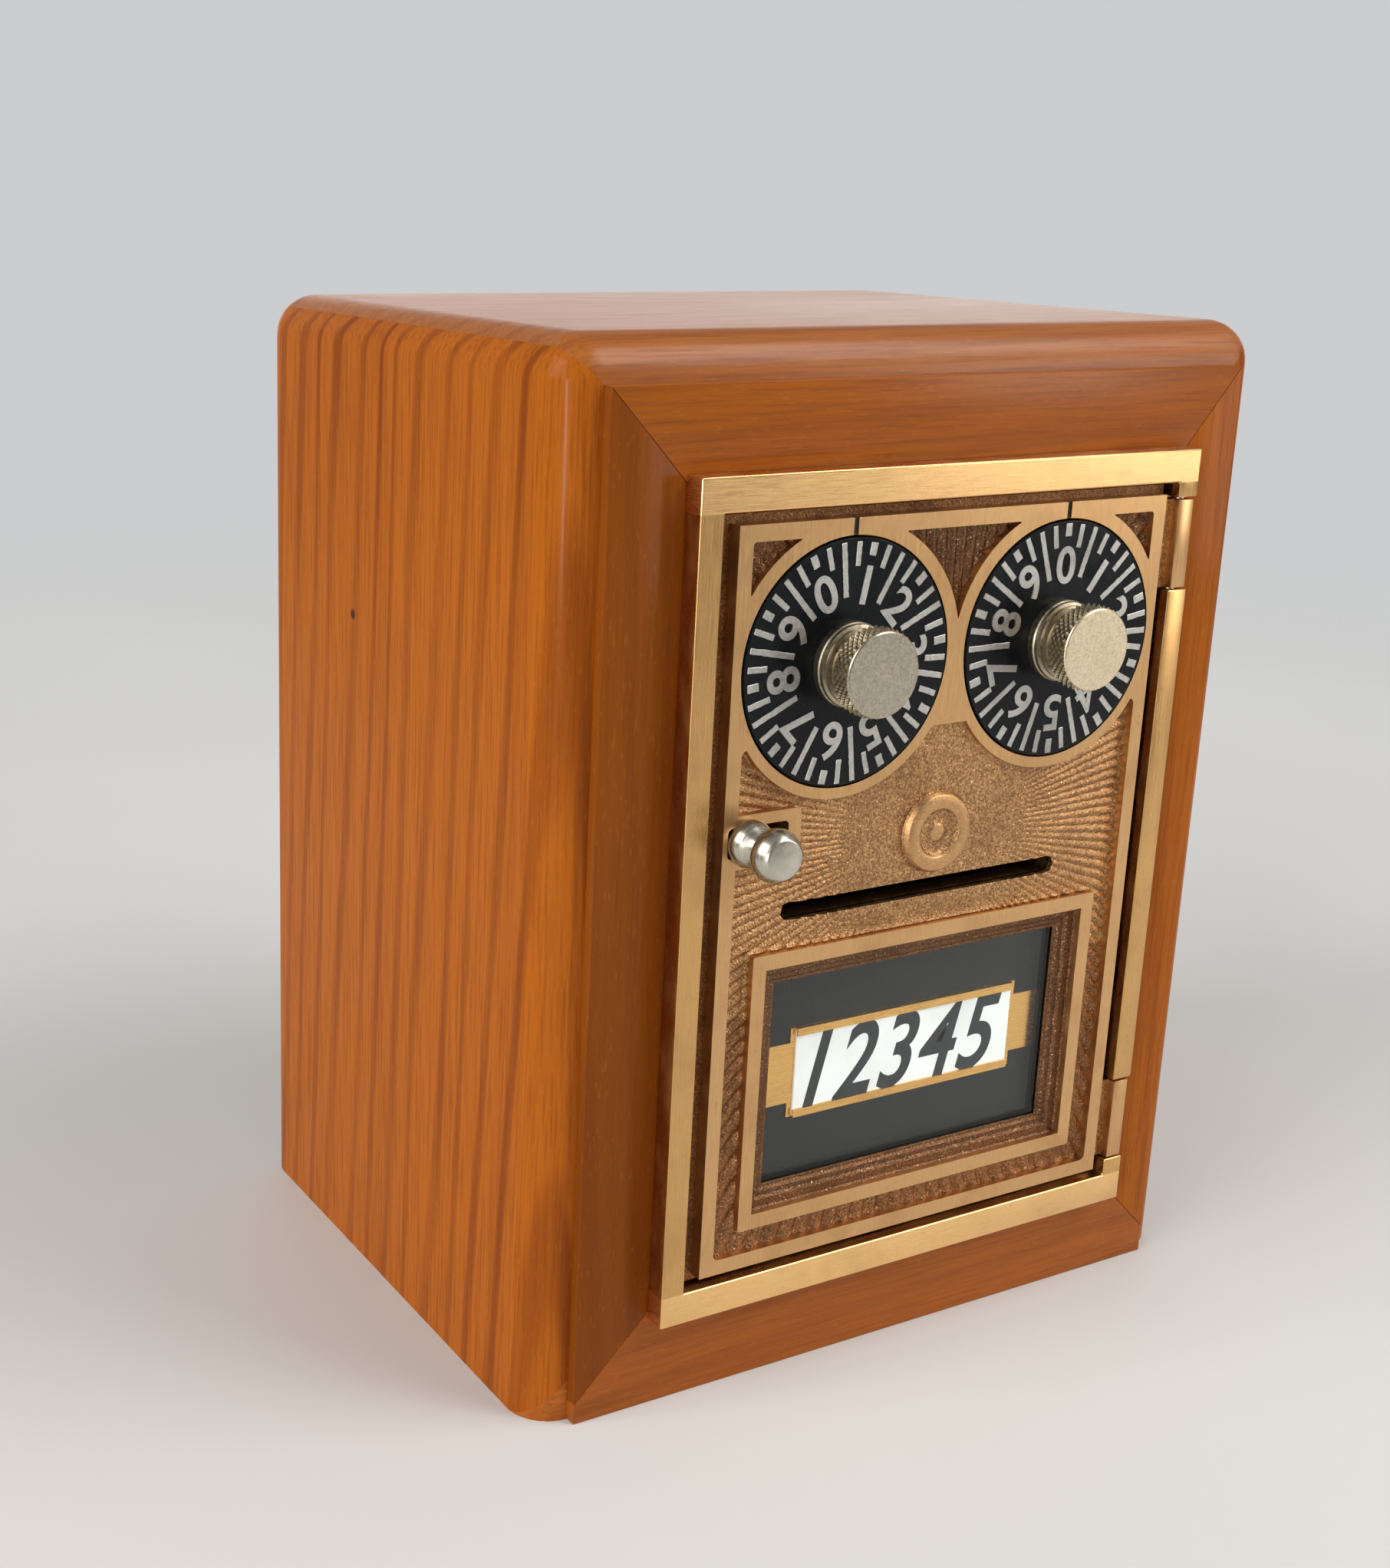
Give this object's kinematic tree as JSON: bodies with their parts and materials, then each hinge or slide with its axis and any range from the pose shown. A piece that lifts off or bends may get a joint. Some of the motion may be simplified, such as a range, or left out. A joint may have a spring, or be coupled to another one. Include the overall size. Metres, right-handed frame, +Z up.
{
  "type": "desk letter box",
  "caption": "Wooden desk keepsake box with a hinged cast brass door, turning combination dials, a sliding latch, a coin slot and a glazed number window.",
  "frame": {"origin": "middle of the whole part's base, on the table", "axes": "+Z up, the front with the door and its knobs faces -Y, +X is to the right seen from the front"},
  "size_m": [0.124, 0.1076, 0.1534],
  "materials": {
    "case_wood": "oiled cherry with straight grain, satin",
    "face_wood": "oiled cherry, satin, mitered",
    "back_wood": "oiled cherry, satin",
    "frame_brass": "satin, brushed along each bar",
    "leaf_brass": "sand cast and darkened in the recesses, brushed on the raised faces",
    "screw_brass": "plain",
    "pin_steel": "drawn",
    "window_glass": "clear",
    "spacer_black": "black",
    "plate_black": "black enamel",
    "holder_brass": "lacquered sheet",
    "card_paper": "white card with dark printed figures",
    "lock_steel": "zinc plated",
    "dial_black": "black enamel, bright raised marks",
    "knob_nickel": "satin nickel with a diamond knurl",
    "works_brass": "turned",
    "nut_steel": "plain",
    "bolt_steel": "stamped sheet",
    "latch_aluminium": "turned and worn"
  },
  "bodies": {
    "box": {"left_side": "case_wood", "right_side": "case_wood", "top_board": "case_wood", "bottom_board": "case_wood", "back_panel": "back_wood", "face_left": "face_wood", "face_right": "face_wood", "face_top": "face_wood", "face_bottom": "face_wood", "back_screw_1": "screw_brass", "back_screw_2": "screw_brass", "back_screw_3": "screw_brass", "back_screw_4": "screw_brass", "door_frame": "frame_brass", "hinge_pin": "pin_steel", "frame_screw_1": "screw_brass", "frame_screw_2": "screw_brass", "frame_screw_3": "screw_brass", "frame_screw_4": "screw_brass"},
    "door": {"door_leaf": "leaf_brass", "window_glass": "window_glass", "glass_spacer": "spacer_black", "backing_plate": "plate_black", "card_holder": "holder_brass", "number_card": "card_paper", "plate_screw_1": "screw_brass", "plate_screw_2": "screw_brass", "plate_screw_3": "screw_brass", "plate_screw_4": "screw_brass", "lock_case": "lock_steel", "lock_screw_1": "screw_brass", "lock_screw_2": "screw_brass", "lock_screw_3": "screw_brass", "lock_screw_4": "screw_brass"},
    "left_dial_set": {"left_dial": "dial_black", "left_knob": "knob_nickel", "left_spindle": "works_brass", "left_wheel": "works_brass", "left_nut": "nut_steel"},
    "right_dial_set": {"right_dial": "dial_black", "right_knob": "knob_nickel", "right_spindle": "works_brass", "right_wheel": "works_brass", "right_nut": "nut_steel"},
    "latch": {"latch_bolt": "bolt_steel", "latch_knob": "latch_aluminium"}
  },
  "joints": [
    {"name": "door_hinge", "type": "hinge", "parent": "box", "child": "door", "pos_m": [0.04315, -0.04345, 0.07475], "axis": [0, 0, 1], "range_deg": [0, 100]},
    {"name": "left_dial_turn", "type": "hinge", "parent": "door", "child": "left_dial_set", "pos_m": [-0.01845, -0.04515, 0.10915], "axis": [0, -1, 0], "continuous": true},
    {"name": "right_dial_turn", "type": "hinge", "parent": "door", "child": "right_dial_set", "pos_m": [0.01985, -0.04515, 0.10915], "axis": [0, -1, 0], "continuous": true},
    {"name": "latch_slide", "type": "slide", "parent": "door", "child": "latch", "axis": [1, 0, 0], "range_m": [-0.0015, 0.0052]}
  ]
}
